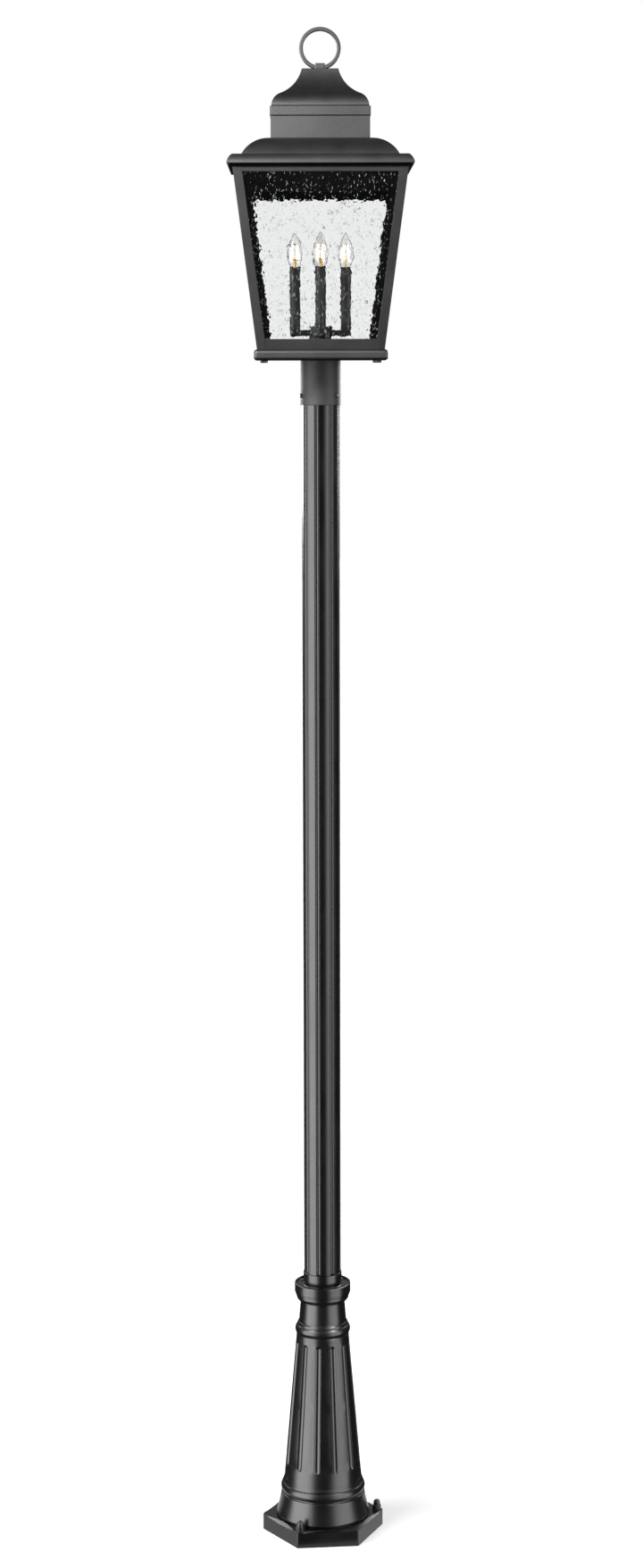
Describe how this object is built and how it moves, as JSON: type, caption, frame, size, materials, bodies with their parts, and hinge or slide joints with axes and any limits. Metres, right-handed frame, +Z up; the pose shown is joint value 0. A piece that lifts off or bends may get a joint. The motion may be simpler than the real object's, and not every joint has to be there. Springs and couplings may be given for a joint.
{
  "type": "post light",
  "caption": "Post-mounted lantern with seeded glass panes and a candle cluster, on a fluted pole in a fluted tapered base with a hexagonal bolt-down foot.",
  "frame": {"origin": "on the ground plane, on the post's axis, at the centre of the foot's underside", "axes": "+Z up the post; -Y faces the lantern's front pane; +X to the right seen from the front; the base and the pole stand turned 5 and 9 degrees under the lantern, as in the picture"},
  "size_m": [0.3602, 0.3602, 3.0881],
  "materials": {
    "post_black": "satin black paint on cast and extruded aluminium",
    "lantern_black": "matte textured black powder coat on aluminium",
    "black_steel": "satin black painted steel",
    "seeded_glass": "clear seeded glass",
    "candle_sleeve": "matte black candle sleeve",
    "socket_plastic": "black moulded lamp socket",
    "bulb_glass": "clear blown glass",
    "bulb_brass": "bright plated lamp base",
    "nipple_brass": "plain brass"
  },
  "bodies": {
    "post": {"base_casting": "post_black", "anchor_washers": "black_steel", "anchor_nuts": "black_steel", "pole": "post_black", "pole_foot_collar": "post_black", "foot_collar_screws": "black_steel"},
    "lantern": {"fitter_collar": "post_black", "tray": "lantern_black", "hub": "lantern_black", "hub_lid": "lantern_black", "hub_nipple": "nipple_brass", "locknuts": "nipple_brass", "arms": "lantern_black", "sockets": "socket_plastic", "candle_sleeve_front": "candle_sleeve", "candle_sleeve_right": "candle_sleeve", "candle_sleeve_back": "candle_sleeve", "candle_sleeve_left": "candle_sleeve"},
    "cage": {"corner_studs": "black_steel", "corner_post_front_left": "lantern_black", "corner_post_front_right": "lantern_black", "corner_post_back_left": "lantern_black", "corner_post_back_right": "lantern_black", "top_rail_front": "lantern_black", "top_rail_right": "lantern_black", "top_rail_back": "lantern_black", "top_rail_left": "lantern_black", "bottom_rail_front": "lantern_black", "bottom_rail_right": "lantern_black", "bottom_rail_back": "lantern_black", "bottom_rail_left": "lantern_black", "glass_pane_front": "seeded_glass", "glass_pane_right": "seeded_glass", "glass_pane_back": "seeded_glass", "glass_pane_left": "seeded_glass", "glass_strips": "black_steel", "roof_pan": "lantern_black", "chimney": "lantern_black", "cap_band": "lantern_black", "cap": "lantern_black", "ring_lug": "lantern_black", "ring": "lantern_black"},
    "set_screw_left": {"set_screw_left": "black_steel"},
    "set_screw_right": {"set_screw_right": "black_steel"},
    "set_screw_back": {"set_screw_back": "black_steel"},
    "knob_nut_front_left": {"knob_nut_front_left": "black_steel"},
    "knob_nut_front_right": {"knob_nut_front_right": "black_steel"},
    "knob_nut_back_left": {"knob_nut_back_left": "black_steel"},
    "knob_nut_back_right": {"knob_nut_back_right": "black_steel"},
    "bulb_front": {"bulb_base_front": "bulb_brass", "bulb_glass_front": "bulb_glass"},
    "bulb_right": {"bulb_base_right": "bulb_brass", "bulb_glass_right": "bulb_glass"},
    "bulb_back": {"bulb_base_back": "bulb_brass", "bulb_glass_back": "bulb_glass"},
    "bulb_left": {"bulb_base_left": "bulb_brass", "bulb_glass_left": "bulb_glass"}
  },
  "joints": [
    {"name": "lantern_lift", "type": "slide", "parent": "post", "child": "lantern", "axis": [0, 0, 1], "range_m": [0, 0.1]},
    {"name": "cage_lift", "type": "slide", "parent": "lantern", "child": "cage", "axis": [0, 0, 1], "range_m": [0, 0.3]},
    {"name": "set_screw_left_back_out", "type": "slide", "parent": "lantern", "child": "set_screw_left", "axis": [-0.9483, -0.3173, 0], "range_m": [0, 0.008]},
    {"name": "set_screw_right_back_out", "type": "slide", "parent": "lantern", "child": "set_screw_right", "axis": [0.749, -0.6626, 0], "range_m": [0, 0.008]},
    {"name": "set_screw_back_back_out", "type": "slide", "parent": "lantern", "child": "set_screw_back", "axis": [0.1994, 0.9799, 0], "range_m": [0, 0.008]},
    {"name": "knob_nut_front_left_turn", "type": "hinge", "parent": "lantern", "child": "knob_nut_front_left", "pos_m": [-0.1124, -0.1124, 2.4416], "axis": [0, 0, 1], "continuous": true},
    {"name": "knob_nut_front_right_turn", "type": "hinge", "parent": "lantern", "child": "knob_nut_front_right", "pos_m": [0.1124, -0.1124, 2.4416], "axis": [0, 0, 1], "continuous": true},
    {"name": "knob_nut_back_left_turn", "type": "hinge", "parent": "lantern", "child": "knob_nut_back_left", "pos_m": [-0.1124, 0.1124, 2.4416], "axis": [0, 0, 1], "continuous": true},
    {"name": "knob_nut_back_right_turn", "type": "hinge", "parent": "lantern", "child": "knob_nut_back_right", "pos_m": [0.1124, 0.1124, 2.4416], "axis": [0, 0, 1], "continuous": true},
    {"name": "bulb_front_draw", "type": "slide", "parent": "lantern", "child": "bulb_front", "axis": [0, 0, 1], "range_m": [0, 0.025]},
    {"name": "bulb_right_draw", "type": "slide", "parent": "lantern", "child": "bulb_right", "axis": [0, 0, 1], "range_m": [0, 0.025]},
    {"name": "bulb_back_draw", "type": "slide", "parent": "lantern", "child": "bulb_back", "axis": [0, 0, 1], "range_m": [0, 0.025]},
    {"name": "bulb_left_draw", "type": "slide", "parent": "lantern", "child": "bulb_left", "axis": [0, 0, 1], "range_m": [0, 0.025]}
  ]
}
